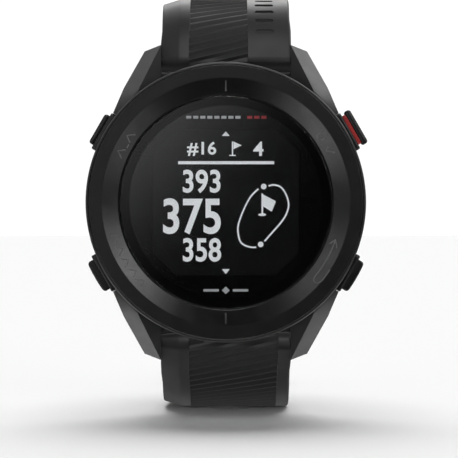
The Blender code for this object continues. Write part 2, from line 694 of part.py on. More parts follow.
def make_buckle(strap, hinge, stations):
    """Buckle at the strap's end, in a frame whose Y axis runs on along the strap."""
    _, y, z, turn = stations[-1]
    depth = STRAP_END_THICKNESS / 2
    place = (0, y - depth * math.sin(turn), z - depth * math.cos(turn))
    frame = new_empty("buckle_axis", hinge, place, (-turn, 0, 0))
    half = STRAP_END_WIDTH / 2
    bead = half - BOSS_PROUD
    join(strap, rod("buckle_boss", BUCKLE_BOSS_RADIUS, -bead, bead, None, frame, steps=20))
    notch = TANG_WIDTH / 2 + 0.3 * MM
    cut(strap, box("tang_notch", (-notch, -2.1 * MM, -2.6 * MM), (notch, 4 * MM, 2.6 * MM), None,
                   frame))
    cut(strap, rod("buckle_bar_hole", BUCKLE_BAR_RADIUS + 0.15 * MM, -half - OVERRUN,
                   half + OVERRUN, None, frame, steps=12))

    reach = FRAME_INSIDE / 2 + 1.3 * MM
    rod("buckle_bar", BUCKLE_BAR_RADIUS, -reach, reach, "dark_steel", frame, steps=12)
    make_buckle_frame(frame)
    make_tang(frame)
    make_keeper("fixed_keeper", FIXED_KEEPER_AT, frame)
    make_keeper("free_keeper", FREE_KEEPER_AT, frame)


def make_buckle_frame(parent):
    outer = FRAME_OUTSIDE / 2
    inner = FRAME_INSIDE / 2
    corner = 2.2 * MM
    far = FRAME_END - 2.0 * MM
    right = (arc((outer - 0.6 * MM, FRAME_BACK + 0.6 * MM), 0.6 * MM, -90, 0, 3)
             + arc((outer - corner, FRAME_END - corner), corner, 0, 90, 5))
    left = [(-x, y) for x, y in reversed(right)]
    inside = [(-inner, FRAME_BACK), (-inner, far - 0.8 * MM), (-inner + 0.8 * MM, far),
              (inner - 0.8 * MM, far), (inner, far - 0.8 * MM), (inner, FRAME_BACK)]
    body = plate("buckle_frame", [right + left + inside], FRAME_THICKNESS, "dark_steel", parent)
    bevel(body, 0.25 * MM)
    reach = inner + 1.5 * MM
    cut(body, rod("frame_bar_hole", BUCKLE_BAR_RADIUS + 0.15 * MM, -reach, reach, None, parent,
                  steps=12))
    seat = (TANG_WIDTH + 0.6 * MM) / 2
    cut(body, box("tang_seat", (-seat, far - OVERRUN, FRAME_THICKNESS / 2 - 0.4 * MM),
                  (seat, FRAME_END + OVERRUN, FRAME_THICKNESS), None, parent))
    weld(body)


def make_tang(parent):
    """Flat tang: a ring round the bar, and a blade that rests in the frame's end."""
    ring = 1.5 * MM
    low = FRAME_THICKNESS / 2 - 0.1 * MM
    high = low + 0.9 * MM
    tip = FRAME_END - 0.3 * MM
    outline = arc((0, 0), ring, 70, 320, 10)
    outline += [(4.6 * MM, low), (tip - 0.3 * MM, low), (tip, low + 0.3 * MM), (tip - 0.5 * MM, high),
                (3.6 * MM, high)]
    hole = circle(BUCKLE_BAR_RADIUS + 0.15 * MM, 12)
    plate("buckle_tang", [outline, hole], TANG_WIDTH, "dark_steel", parent, (0, 0, 0),
          (math.pi / 2, 0, math.pi / 2))


def make_keeper(name, at, parent):
    """Loop round the strap with room above it for the other half."""
    half_thickness = STRAP_END_THICKNESS / 2
    low = -half_thickness - 0.35 * MM
    high = half_thickness + 2.9 * MM
    wall = 1.2 * MM
    middle = (low + high) / 2
    width = STRAP_END_WIDTH + 0.5 * MM
    height = high - low
    outer = rounded_rectangle(height + 2 * wall, width + 2 * wall, 1.4 * MM, 4)
    inner = rounded_rectangle(height, width, 0.5 * MM, 3)
    keeper = plate(name, [outer, inner], KEEPER_LENGTH, "strap", parent, (0, at, middle),
                   (math.pi / 2, math.pi / 2, 0))
    return bevel(keeper, 0.3 * MM)


# ---------------------------------------------------------------- assembly

def build():
    case = make_case()
    for name, angle, face, rounded in BUTTONS:
        make_button(case, name, angle, face, rounded)
    make_bezel()
    make_lens()
    make_display()
    make_electronics()
    make_back()
    make_charge_port()
    make_upper_strap()
    make_lower_strap()


clear_scene()
AXIS_TO_X = Vector((0, 0, 1)).rotation_difference(Vector((1, 0, 0))).to_matrix()
PARTS = new_collection("golf_gps_watch")
CUTTERS = new_collection("cutters")
WATCH = new_empty("watch_frame", None, (0, 0, 0), (math.pi / 2, 0, 0))
build()
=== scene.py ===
"""Golf GPS watch with its strap open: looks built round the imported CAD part."""

import math

import bmesh
import bpy
from mathutils import Matrix, Vector


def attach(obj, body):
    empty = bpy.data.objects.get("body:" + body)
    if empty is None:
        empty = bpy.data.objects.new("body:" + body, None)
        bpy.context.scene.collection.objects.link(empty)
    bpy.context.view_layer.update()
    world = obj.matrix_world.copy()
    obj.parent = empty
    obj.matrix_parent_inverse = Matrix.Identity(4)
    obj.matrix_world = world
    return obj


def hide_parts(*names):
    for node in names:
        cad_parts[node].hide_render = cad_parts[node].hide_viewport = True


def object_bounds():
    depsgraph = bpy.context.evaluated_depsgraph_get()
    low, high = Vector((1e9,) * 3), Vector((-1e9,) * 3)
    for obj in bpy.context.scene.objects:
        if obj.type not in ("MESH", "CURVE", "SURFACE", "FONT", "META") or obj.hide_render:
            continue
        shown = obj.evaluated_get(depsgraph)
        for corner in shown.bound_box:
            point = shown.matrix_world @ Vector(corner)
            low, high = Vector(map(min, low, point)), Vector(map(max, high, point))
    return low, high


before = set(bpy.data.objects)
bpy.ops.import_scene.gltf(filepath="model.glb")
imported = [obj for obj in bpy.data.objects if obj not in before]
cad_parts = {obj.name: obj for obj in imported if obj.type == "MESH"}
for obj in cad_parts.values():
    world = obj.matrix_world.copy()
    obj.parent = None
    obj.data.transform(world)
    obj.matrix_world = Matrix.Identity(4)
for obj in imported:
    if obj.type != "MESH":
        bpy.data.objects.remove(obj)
cad_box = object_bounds()
scene = bpy.context.scene

# ---------------------------------------------------------------- frames and shared measures

MM = 0.001  # shapes are given in millimetres; the floor and the camera are in metres


def shift(x, y, z):
    return Matrix.Translation(Vector((x, y, z)) * MM)


def turn(degrees, axis):
    return Matrix.Rotation(math.radians(degrees), 4, axis)


WATCH = turn(90, "X")  # X to three o'clock, Y to twelve o'clock, Z out of the lens

# Heights above the back, from the display up
PANEL_TOP = 9.0
MASK_LOW, MASK_TOP = 9.3, 9.6
LENS_LOW, LENS_TOP = 9.9, 11.0
INK = 0.02  # thickness of anything printed or lit

# The bezel's sloped ring: radius and height of its inner and outer edge
BEZEL_INNER, BEZEL_LOW = 16.85, 10.95
BEZEL_OUTER, BEZEL_TOP = 19.4, 11.5

# Buttons: the height of their axes, and their directions from three o'clock
BUTTON_HEIGHT = 5.7
BUTTON_ANGLES = {"up": 150, "ok": 30, "down": 210, "back": 330}

# Spring bars, which are the hinges of the strap halves
LUG_GAP = 20.5
BAR_Y, BAR_HEIGHT = 22.6, 3.5
UPPER_HINGE = WATCH @ shift(0, BAR_Y, BAR_HEIGHT)
LOWER_HINGE = WATCH @ shift(0, -BAR_Y, BAR_HEIGHT) @ turn(180, "Z")


def button_frame(name):
    """Frame on a button's axis: X out of the case, Z out of the lens."""
    return WATCH @ shift(0, 0, BUTTON_HEIGHT) @ turn(BUTTON_ANGLES[name], "Z")


# ---------------------------------------------------------------- materials

def new_material(name):
    material = bpy.data.materials.new(name)
    material.use_nodes = True
    return material, material.node_tree.nodes, material.node_tree.links


def set_inputs(node, **values):
    for key, value in values.items():
        node.inputs[key.replace("_", " ")].default_value = value


def surface(name, dark, light, rough, grain, depth, blotch=140.0, wear=None, metallic=0.0,
            coat=0.0, specular=0.5, streak=None):
    """Blotched colour, uneven gloss, a fine grain, and edges that are softened and worn.

    rough is the range of roughness, grain the scale of the bump and depth its height, wear the
    colour of rubbed edges, and streak a scale that stretches every pattern.
    """
    material, nodes, links = new_material(name)
    shader = nodes["Principled BSDF"]
    set_inputs(shader, Metallic=metallic, Coat_Weight=coat, Coat_Roughness=0.08)
    shader.inputs["Specular IOR Level"].default_value = specular
    place = nodes.new("ShaderNodeTexCoord").outputs["Object"]
    if streak:
        stretched = nodes.new("ShaderNodeMapping")
        stretched.inputs["Scale"].default_value = streak
        links.new(place, stretched.inputs["Vector"])
        place = stretched.outputs["Vector"]

    def noise(scale, detail, roughness=0.55):
        node = nodes.new("ShaderNodeTexNoise")
        set_inputs(node, Scale=scale, Detail=detail, Roughness=roughness)
        links.new(place, node.inputs["Vector"])
        return node.outputs["Fac"]

    def ramp(value, low, high, out_low=0.0, out_high=1.0):
        node = nodes.new("ShaderNodeMapRange")
        set_inputs(node, From_Min=low, From_Max=high, To_Min=out_low, To_Max=out_high)
        links.new(value, node.inputs["Value"])
        return node.outputs["Result"]

    colour = nodes.new("ShaderNodeMix")
    colour.data_type = "RGBA"
    colour.inputs["A"].default_value = (*dark, 1)
    colour.inputs["B"].default_value = (*light, 1)
    links.new(ramp(noise(blotch, 6.0), 0.34, 0.66), colour.inputs["Factor"])
    base = colour.outputs["Result"]

    rounded = nodes.new("ShaderNodeBevel")
    rounded.samples = 6
    rounded.inputs["Radius"].default_value = 0.12 * MM
    if wear:
        facing = nodes.new("ShaderNodeVectorMath")
        facing.operation = "DOT_PRODUCT"
        links.new(rounded.outputs["Normal"], facing.inputs[0])
        links.new(nodes.new("ShaderNodeNewGeometry").outputs["Normal"], facing.inputs[1])
        rubbed = nodes.new("ShaderNodeMath")
        rubbed.operation = "MULTIPLY"
        links.new(ramp(facing.outputs["Value"], 0.999, 0.86), rubbed.inputs[0])
        links.new(ramp(noise(420.0, 4.0), 0.38, 0.62, 0.25, 1.0), rubbed.inputs[1])
        worn = nodes.new("ShaderNodeMix")
        worn.data_type = "RGBA"
        worn.inputs["B"].default_value = (*wear, 1)
        links.new(rubbed.outputs["Value"], worn.inputs["Factor"])
        links.new(base, worn.inputs["A"])
        base = worn.outputs["Result"]
    links.new(base, shader.inputs["Base Color"])
    links.new(ramp(noise(blotch * 2.3, 5.0), 0.3, 0.7, *rough), shader.inputs["Roughness"])

    bump = nodes.new("ShaderNodeBump")
    set_inputs(bump, Strength=1.0, Distance=depth * MM)
    links.new(noise(grain, 3.0, 0.6), bump.inputs["Height"])
    links.new(rounded.outputs["Normal"], bump.inputs["Normal"])
    links.new(bump.outputs["Normal"], shader.inputs["Normal"])
    return material


def grey(value):
    return (value, value, value)


def make_glass():
    """Cover glass with faint smears."""
    material, nodes, links = new_material("cover_glass_clear")
    shader = nodes["Principled BSDF"]
    set_inputs(shader, Transmission_Weight=1.0, IOR=1.5)
    shader.inputs["Base Color"].default_value = (0.96, 0.98, 1.0, 1)
    place = nodes.new("ShaderNodeTexCoord")
    smear = nodes.new("ShaderNodeTexNoise")
    set_inputs(smear, Scale=70.0, Detail=5.0, Roughness=0.6, Distortion=0.8)
    links.new(place.outputs["Object"], smear.inputs["Vector"])
    gloss = nodes.new("ShaderNodeMapRange")
    set_inputs(gloss, From_Min=0.35, From_Max=0.75, To_Min=0.02, To_Max=0.07)
    links.new(smear.outputs["Fac"], gloss.inputs["Value"])
    links.new(gloss.outputs["Result"], shader.inputs["Roughness"])
    return material


def make_display_cells(name, colour, strength):
    """Picture elements on a fine square grid; a painted glow at the strength stands in for
    reflected light.
    """
    material, nodes, links = new_material(name)
    shader = nodes["Principled BSDF"]
    set_inputs(shader, Roughness=0.4)
    shader.inputs["Specular IOR Level"].default_value = 0.05
    place = nodes.new("ShaderNodeTexCoord")
    cells = nodes.new("ShaderNodeTexBrick")
    cells.offset = 0.0
    pitch = 0.13
    set_inputs(cells, Scale=1 / MM, Mortar_Size=0.008, Brick_Width=pitch, Row_Height=pitch)
    cells.inputs["Color1"].default_value = (*colour, 1)
    cells.inputs["Color2"].default_value = (*[c * 0.94 for c in colour], 1)
    cells.inputs["Mortar"].default_value = (*[c * 0.55 for c in colour], 1)
    flat = nodes.new("ShaderNodeMapping")
    flat.inputs["Rotation"].default_value = (-math.pi / 2, 0, 0)
    links.new(place.outputs["Object"], flat.inputs["Vector"])
    links.new(flat.outputs["Vector"], cells.inputs["Vector"])
    links.new(cells.outputs["Color"], shader.inputs["Base Color"])
    # painted glow: emission in the cells' own colour stands in for the light the display would
    # reflect
    links.new(cells.outputs["Color"], shader.inputs["Emission Color"])
    shader.inputs["Emission Strength"].default_value = strength
    return material


def make_board():
    """Green solder mask with copper tracks and pads under it."""
    material, nodes, links = new_material("board_green")
    shader = nodes["Principled BSDF"]
    set_inputs(shader, Coat_Weight=0.4, Coat_Roughness=0.15)
    place = nodes.new("ShaderNodeTexCoord")
    tracks = nodes.new("ShaderNodeTexVoronoi")
    tracks.feature = "DISTANCE_TO_EDGE"
    tracks.distance = "EUCLIDEAN"
    set_inputs(tracks, Scale=650.0)
    links.new(place.outputs["Object"], tracks.inputs["Vector"])
    mask = nodes.new("ShaderNodeMapRange")
    set_inputs(mask, From_Min=0.03, From_Max=0.06)
    links.new(tracks.outputs["Distance"], mask.inputs["Value"])
    colour = nodes.new("ShaderNodeMix")
    colour.data_type = "RGBA"
    colour.inputs["A"].default_value = (0.05, 0.14, 0.05, 1)
    colour.inputs["B"].default_value = (0.006, 0.045, 0.02, 1)
    links.new(mask.outputs["Result"], colour.inputs["Factor"])
    links.new(colour.outputs["Result"], shader.inputs["Base Color"])
    gloss = nodes.new("ShaderNodeMapRange")
    set_inputs(gloss, To_Min=0.45, To_Max=0.3)
    links.new(mask.outputs["Result"], gloss.inputs["Value"])
    links.new(gloss.outputs["Result"], shader.inputs["Roughness"])
    bump = nodes.new("ShaderNodeBump")
    set_inputs(bump, Strength=0.6, Distance=0.01 * MM)
    links.new(mask.outputs["Result"], bump.inputs["Height"])
    links.new(bump.outputs["Normal"], shader.inputs["Normal"])
    return material


# Dark and light colour, range of roughness, scale and height of the grain, and what is special
LOOKS = {
    "case": surface("case_polymer_grey", grey(0.017), grey(0.026), (0.34, 0.44), 3200, 0.005,
                    wear=grey(0.05)),
    "bezel": surface("bezel_polymer_black", grey(0.005), grey(0.008), (0.18, 0.25), 4200, 0.0015,
                     wear=grey(0.035)),
    "glass": make_glass(),
    "print": surface("print_black", grey(0.0006), grey(0.001), (0.55, 0.7), 5000, 0.001,
                     specular=0.02),
    "panel": make_display_cells("panel_dark", grey(0.008), 0.0),
    # the picture glows with painted light in place of the light it would reflect
    "lit": make_display_cells("picture_elements", (0.84, 0.85, 0.85), 0.42),
    "white": surface("print_white", grey(0.62), grey(0.7), (0.45, 0.55), 5000, 0.001),
    "crimson": surface("print_red", (0.5, 0.012, 0.02), (0.6, 0.02, 0.03), (0.45, 0.55), 5000,
                       0.001),
    "guide": surface("light_guide_milky", grey(0.55), grey(0.62), (0.3, 0.4), 1800, 0.003),
    "plastic": surface("inner_plastic_dark", grey(0.02), grey(0.035), (0.45, 0.6), 2200, 0.006,
                       wear=grey(0.06)),
    "board": make_board(),
    "gold": surface("contact_gold", (0.72, 0.46, 0.14), (0.85, 0.58, 0.2), (0.2, 0.34), 3000,
                    0.001, metallic=1.0, wear=(0.9, 0.7, 0.35)),
    "steel": surface("brushed_steel", grey(0.42), grey(0.55), (0.24, 0.4), 3000, 0.002,
                     metallic=1.0, wear=grey(0.7), streak=(0.12, 1, 1)),
    "pouch": surface("battery_foil", grey(0.35), grey(0.5), (0.3, 0.5), 700, 0.03, metallic=0.8,
                     wear=grey(0.6)),
    "rubber": surface("seal_rubber_black", grey(0.012), grey(0.02), (0.55, 0.7), 2600, 0.004),
    "button": surface("button_polymer_gloss", grey(0.004), grey(0.007), (0.13, 0.24), 3600,
                      0.0015, wear=grey(0.015), coat=0.1),
    "red": surface("button_ring_red", (0.5, 0.008, 0.006), (0.62, 0.014, 0.01), (0.3, 0.42),
                   3200, 0.003, wear=(0.7, 0.06, 0.04)),
    "strap": surface("strap_silicone_black", grey(0.008), grey(0.012), (0.44, 0.56), 3000,
                     0.006, blotch=60.0, wear=grey(0.03)),
    "buckle": surface("buckle_metal_black", grey(0.05), grey(0.09), (0.28, 0.42), 3200, 0.002,
                      metallic=1.0, wear=grey(0.35), streak=(0.15, 1, 1)),
    "mark": surface("engraved_mark_grey", grey(0.1), grey(0.14), (0.4, 0.5), 4000, 0.002),
}

# ---------------------------------------------------------------- mesh helpers


def finish_piece(name, bm, matrix, look, body, replaces=(), smooth=30):
    """Turn a bmesh in millimetres of a local frame into a piece that rides on a body."""
    bmesh.ops.recalc_face_normals(bm, faces=bm.faces)
    mesh = bpy.data.meshes.new(name)
    bm.to_mesh(mesh)
    bm.free()
    mesh.transform(matrix @ Matrix.Scale(MM, 4))
    obj = bpy.data.objects.new(name, mesh)
    scene.collection.objects.link(obj)
    if look:
        mesh.materials.append(LOOKS[look])
    if smooth:
        mesh.shade_smooth()
        mesh.set_sharp_from_angle(angle=math.radians(smooth))
    if body:
        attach(obj, body)
    if replaces:
        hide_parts(*replaces)
    return obj


def apply_modifiers(obj):
    """Replace a piece's mesh by what its modifiers make of it."""
    graph = bpy.context.evaluated_depsgraph_get()
    old = obj.data
    obj.data = bpy.data.meshes.new_from_object(obj.evaluated_get(graph))
    obj.modifiers.clear()
    obj.data.name = obj.name
    bpy.data.meshes.remove(old)


def crease(obj, broad=0.12, broad_angle=9, any_angle=60):
    """Keep an edge crisp between faces over the broad area, or at a much wider angle."""
    bm = bmesh.new()
    bm.from_mesh(obj.data)
    for edge in bm.edges:
        if len(edge.link_faces) == 2:
            small = min(face.calc_area() for face in edge.link_faces)
            bend = edge.calc_face_angle(0.0)
            edge.smooth = not (bend > math.radians(any_angle)
                               or (small > broad * MM * MM and bend > math.radians(broad_angle)))
    bm.to_mesh(obj.data)
    bm.free()


def soften(obj, width, segments=3, angle=35):
    """Round every edge sharper than the angle, and keep flat faces flat."""
    rounding = obj.modifiers.new("rounding", "BEVEL")
    rounding.width = width * MM
    rounding.segments = segments
    rounding.limit_method = "ANGLE"
    rounding.angle_limit = math.radians(angle)
    rounding.miter_outer = "MITER_ARC"
    apply_modifiers(obj)
    obj.data.shade_smooth()
    crease(obj)
    weighting = obj.modifiers.new("weighting", "WEIGHTED_NORMAL")
    weighting.keep_sharp = True
    apply_modifiers(obj)


def combine(obj, operation, bm, matrix):
    """Join a bmesh to a piece, or cut it away; the operation is UNION or DIFFERENCE."""
    other = finish_piece("tool", bm, matrix, None, None, smooth=None)
    step = obj.modifiers.new("combine", "BOOLEAN")
    step.operation = operation
    step.solver = "EXACT"
    step.object = other
    bpy.context.view_layer.update()
    apply_modifiers(obj)
    bpy.data.objects.remove(other)


def add(obj, bm, matrix):
    combine(obj, "UNION", bm, matrix)


def cut(obj, bm, matrix):
    combine(obj, "DIFFERENCE", bm, matrix)


def arc(centre, radius, start, end, count):
    """Points from one angle to the other, both included."""
    return [(centre[0] + radius * math.cos(math.radians(start + (end - start) * i / (count - 1))),
             centre[1] + radius * math.sin(math.radians(start + (end - start) * i / (count - 1))))
            for i in range(count)]


def rounded_rectangle(width, depth, radius, count=8):
    x, y = width / 2 - radius, depth / 2 - radius
    corners = (((x, y), 0), ((-x, y), 90), ((-x, -y), 180), ((x, -y), 270))
    return [p for centre, at in corners for p in arc(centre, radius, at, at + 90, count)]


def stadium(length, width, count=9):
    reach = (length - width) / 2
    return arc((reach, 0), width / 2, -90, 90, count) + arc((-reach, 0), width / 2, 90, 270, count)


def rectangle(low, high):
    """Outline between two corners."""
    return [low, (high[0], low[1]), high, (low[0], high[1])]


def octagon(half, chamfer):
    """Square with cut corners."""
    inner = half - chamfer
    return [(half, -inner), (half, inner), (inner, half), (-inner, half), (-half, inner),
            (-half, -inner), (-inner, -half), (inner, -half)]


def prism(bm, outline, low, high, matrix=Matrix.Identity(4)):
    """Add a closed straight extrusion of an outline to bm."""
    rings = [[bm.verts.new(matrix @ Vector((x, y, z))) for x, y in outline] for z in (low, high)]
    bm.faces.new(rings[0])
    bm.faces.new(rings[1])
    for i in range(len(outline)):
        after = (i + 1) % len(outline)
        bm.faces.new((rings[0][i], rings[0][after], rings[1][after], rings[1][i]))


def ring_prism(bm, outer, inner, low, high, matrix=Matrix.Identity(4)):
    """Add a closed ring between two outlines with as many points each."""
    rings = [[bm.verts.new(matrix @ Vector((x, y, z))) for x, y in outline]
             for outline, z in ((outer, low), (outer, high), (inner, high), (inner, low))]
    for a in range(4):
        first, second = rings[a], rings[(a + 1) % 4]
        for i in range(len(outer)):
            after = (i + 1) % len(outer)
            bm.faces.new((first[i], first[after], second[after], second[i]))


def lathe(bm, profile, steps=160):
    """Add a ring turned about Z from a closed profile of (radius, height)."""
    rings = []
    for i in range(steps):
        c, s = math.cos(math.tau * i / steps), math.sin(math.tau * i / steps)
        rings.append([bm.verts.new((r * c, r * s, z)) for r, z in profile])
    for i in range(steps):
        here, there = rings[i], rings[(i + 1) % steps]
        for j in range(len(profile)):
            after = (j + 1) % len(profile)
            bm.faces.new((here[j], here[after], there[after], there[j]))


def rod(radius, start, end, steps=40):
    """Bmesh of a straight rod along X."""
    bm = bmesh.new()
    prism(bm, [(-z, y) for y, z in arc((0, 0), radius, 0, 360 - 360 / steps, steps)], start, end,
          turn(90, "Y"))
    return bm


def block(low, high):
    """Bmesh of a box between two corners."""
    bm = bmesh.new()
    prism(bm, rectangle(low[:2], high[:2]), low[2], high[2])
    return bm


def ribbon(bm, points, width, lift):
    """Add a flat stroke of constant width along (x, y) points, placed by lift(x, y)."""
    sides = ([], [])
    for i, (x, y) in enumerate(points):
        x0, y0 = points[max(i - 1, 0)]
        x1, y1 = points[min(i + 1, len(points) - 1)]
        length = math.hypot(x1 - x0, y1 - y0)
        nx, ny = -(y1 - y0) / length * width / 2, (x1 - x0) / length * width / 2
        sides[0].append(bm.verts.new(lift(x + nx, y + ny)))
        sides[1].append(bm.verts.new(lift(x - nx, y - ny)))
    for i in range(len(points) - 1):
        bm.faces.new((sides[0][i], sides[0][i + 1], sides[1][i + 1], sides[1][i]))


def smooth_line(points, count=6):
    """Points of a Catmull-Rom curve through the given ones."""
    padded = [points[0]] + list(points) + [points[-1]]
    line = []
    for i in range(len(points) - 1):
        a, b, c, d = (Vector(p) for p in padded[i:i + 4])
        for k in range(count):
            t = k / count
            line.append(tuple(0.5 * ((2 * b) + (c - a) * t + (2 * a - 5 * b + 4 * c - d) * t * t
                                     + (3 * b - a - 3 * c + d) * t ** 3)))
    return line + [tuple(points[-1])]


# ---------------------------------------------------------------- watch head

def make_case():
    """Shell with four lugs, a web between each pair, and a bore and a pocket for each button."""
    bm = bmesh.new()
    lathe(bm, [(21.6, 10.7), (21.8, 10.62), (21.93, 10.4), (21.95, 10.1), (21.95, 4.6),
               (21.6, 2.4), (21.0, 1.5), (17.6, 1.5), (17.6, 7.8), (15.0, 7.8), (15.0, 8.8),
               (17.0, 8.8), (17.0, 9.6), (21.5, 9.6), (21.5, 10.6)])
    case = finish_piece("case_shell", bm, WATCH, "case", "watch_head", ("case_middle",))
    inner = LUG_GAP / 2
    lug = [
        (inner, 24.95, 4.6), (12.9, 24.0, 3.1), (13.6, 17.9, 8.8), (14.6, 14.6, 8.8),
        (16.1, 18.0, 6.3), (18.0, 13.6, 6.3), (inner, 18.3, 6.5), (inner, 17.6, 6.5),
        (inner, 24.95, 1.4), (12.7, 23.95, 1.4), (inner, 24.05, 0.8), (12.2, 23.25, 0.8),
        (16.0, 16.6, 1.5), (17.2, 13.4, 1.6), (inner, 17.6, 1.6), (14.0, 13.6, 1.6),
    ]
    for side_y in (1, -1):
        for side_x in (1, -1):
            bm = bmesh.new()
            for x, y, z in lug:
                bm.verts.new((side_x * x, side_y * y, z))
            hull = bmesh.ops.convex_hull(bm, input=bm.verts)
            inside = [v for v in hull["geom_interior"] if isinstance(v, bmesh.types.BMVert)]
            bmesh.ops.delete(bm, geom=inside, context="VERTS")
            bmesh.ops.dissolve_limit(bm, angle_limit=math.radians(1), verts=bm.verts,
                                     edges=bm.edges)
            add(case, bm, WATCH)
        web = sorted((side_y * 18.2, side_y * 21.4))
        reach = inner + 0.4
        add(case, block((-reach, web[0], 1.7), (reach, web[1], 4.4)), WATCH)
    for side_y in (1, -1):
        room = rod(2.3, -inner, inner, steps=48)
        cut(case, room, WATCH @ shift(0, side_y * BAR_Y, BAR_HEIGHT))
    for name in BUTTON_ANGLES:
        place = button_frame(name)
        cut(case, block((21.15, -3.3, -1.95), (24.0, 3.3, 1.95)), place)  # seat of the collar
        cut(case, rod(1.8, 16.0, 21.95), place)  # bore for the sleeve
    soften(case, 0.13, 2)


def bezel_lift(angle):
    """Lay (along, out) millimetres on the bezel's slope, read from outside the ring."""
    middle, above = 18.1, 0.012
    rise = (BEZEL_TOP - BEZEL_LOW) / (BEZEL_OUTER - BEZEL_INNER)

    def lift(along, out):
        radius = middle + out
        at = math.radians(angle) - along / radius
        height = BEZEL_LOW + (radius - BEZEL_INNER) * rise + above
        return (radius * math.cos(at), radius * math.sin(at), height)
    return lift


def make_bezel():
    """Sloped ring with a line at six and at twelve, and an icon beside each button."""
    bm = bmesh.new()
    lathe(bm, [(BEZEL_OUTER, BEZEL_TOP), (21.4, BEZEL_TOP), (21.4, LENS_LOW),
               (BEZEL_INNER, LENS_LOW), (BEZEL_INNER, BEZEL_LOW)], 200)
    bezel = finish_piece("bezel_ring", bm, WATCH, "bezel", "watch_head", ("bezel",))
    groove = 10.98
    for angle in (0, 180):
        cut(bezel, block((-0.13, 17.3, groove), (0.13, 19.02, 11.6)), WATCH @ turn(angle, "Z"))
    soften(bezel, 0.08, 3, 30)

    up = [(-0.75, -0.5), (0, 0.5), (0.75, -0.5)]
    down = [(x, -y) for x, y in up]
    ring = arc((0, 0), 0.62, 0, 360, 25)
    tick = [(-0.55, 0.05), (-0.1, -0.5), (0.8, 0.6)]
    hook = [(2.6 + 1.0 * math.sin(a), 0.62 - 0.62 * math.cos(a))
            for a in [math.pi * i / 10 for i in range(11)]]
    icons = {
        150.3: [[(x - 1.4, y) for x, y in up], [(x + 1.4, y) for x, y in up],
                [(-0.3, -0.5), (0.3, -0.5)]],
        30.6: [[(x - 1.3, y) for x, y in ring], [(x + 1.2, y) for x, y in tick]],
        210.8: [[(x + k, y) for x, y in down] for k in (-4.0, -2.0, 0, 2.0, 4.0)],
        328.9: [[(-2.8, 0.62), (-3.9, 0), (-2.8, -0.62)], [(-3.8, 0), (2.6, 0)], hook,
                [(2.6, 1.24), (0.6, 1.24)]],
    }
    bm = bmesh.new()
    for angle, strokes in icons.items():
        for stroke in strokes:
            fine = []
            for (x0, y0), (x1, y1) in zip(stroke, stroke[1:]):
                steps = max(int(math.hypot(x1 - x0, y1 - y0) / 0.5), 1)
                fine += [(x0 + (x1 - x0) * i / steps, y0 + (y1 - y0) * i / steps)
                         for i in range(steps)]
            ribbon(bm, fine + [stroke[-1]], 0.2, bezel_lift(angle))
    for side in (1, -1):
        ribbon(bm, [(0, side * 17.34), (0, side * 18.98)], 0.22,
               lambda x, y: (x, y, groove + 0.04))
    finish_piece("bezel_marks", bm, WATCH, "mark", "watch_head", smooth=None)


def make_lens():
    bm = bmesh.new()
    prism(bm, arc((0, 0), 16.6, 0, 358, 180), LENS_LOW, LENS_TOP)
    lens = finish_piece("cover_lens", bm, WATCH, "glass", "watch_head", ("lens",))
    soften(lens, 0.16, 3)


def make_mask():
    """Printed disc with the display's window in it."""
    steps = 160
    half, chamfer = 11.4, 3.5
    circle = [(15.45 * math.cos(math.tau * i / steps), 15.45 * math.sin(math.tau * i / steps))
              for i in range(steps)]

    def edge_at(angle):
        """Point of the window's edge in a direction."""
        c, s = math.cos(angle), math.sin(angle)
        reach = min(half / max(abs(c), 1e-9), half / max(abs(s), 1e-9),
                    (2 * half - chamfer) / (abs(c) + abs(s)))
        return (reach * c, reach * s)

    window = [edge_at(math.atan2(y, x)) for x, y in circle]
    bm = bmesh.new()
    ring_prism(bm, circle, window, MASK_LOW, MASK_TOP)
    finish_piece("printed_mask", bm, WATCH, "print", "watch_head", ("display_mask",),
                 smooth=25)


def make_panel():
    bm = bmesh.new()
    prism(bm, octagon(12.0, 4.0), 8.1, PANEL_TOP)
    panel = finish_piece("display_glass_panel", bm, WATCH, "panel", "watch_head",
                         ("display_panel",), smooth=None)
    soften(panel, 0.08, 2)


def add_number(bm, text, low, high, height):
    """Add numerals that fill the box from low to high."""
    curve = bpy.data.curves.new("numerals", "FONT")
    curve.body = text
    curve.offset = 0.022
    curve.extrude = 0.01
    curve.resolution_u = 6
    curve.space_character = 1.02
    obj = bpy.data.objects.new("numerals", curve)
    scene.collection.objects.link(obj)
    graph = bpy.context.evaluated_depsgraph_get()
    mesh = bpy.data.meshes.new_from_object(obj.evaluated_get(graph))
    bpy.data.objects.remove(obj)
    xs = [v.co.x for v in mesh.vertices]
    ys = [v.co.y for v in mesh.vertices]
    wide = (high[0] - low[0]) / (max(xs) - min(xs))
    tall = (high[1] - low[1]) / (max(ys) - min(ys))
    for v in mesh.vertices:
        v.co = (low[0] + (v.co.x - min(xs)) * wide, low[1] + (v.co.y - min(ys)) * tall,
                height + (0.0 if v.co.z < 0 else INK))
    bm.from_mesh(mesh)
    bpy.data.meshes.remove(mesh)


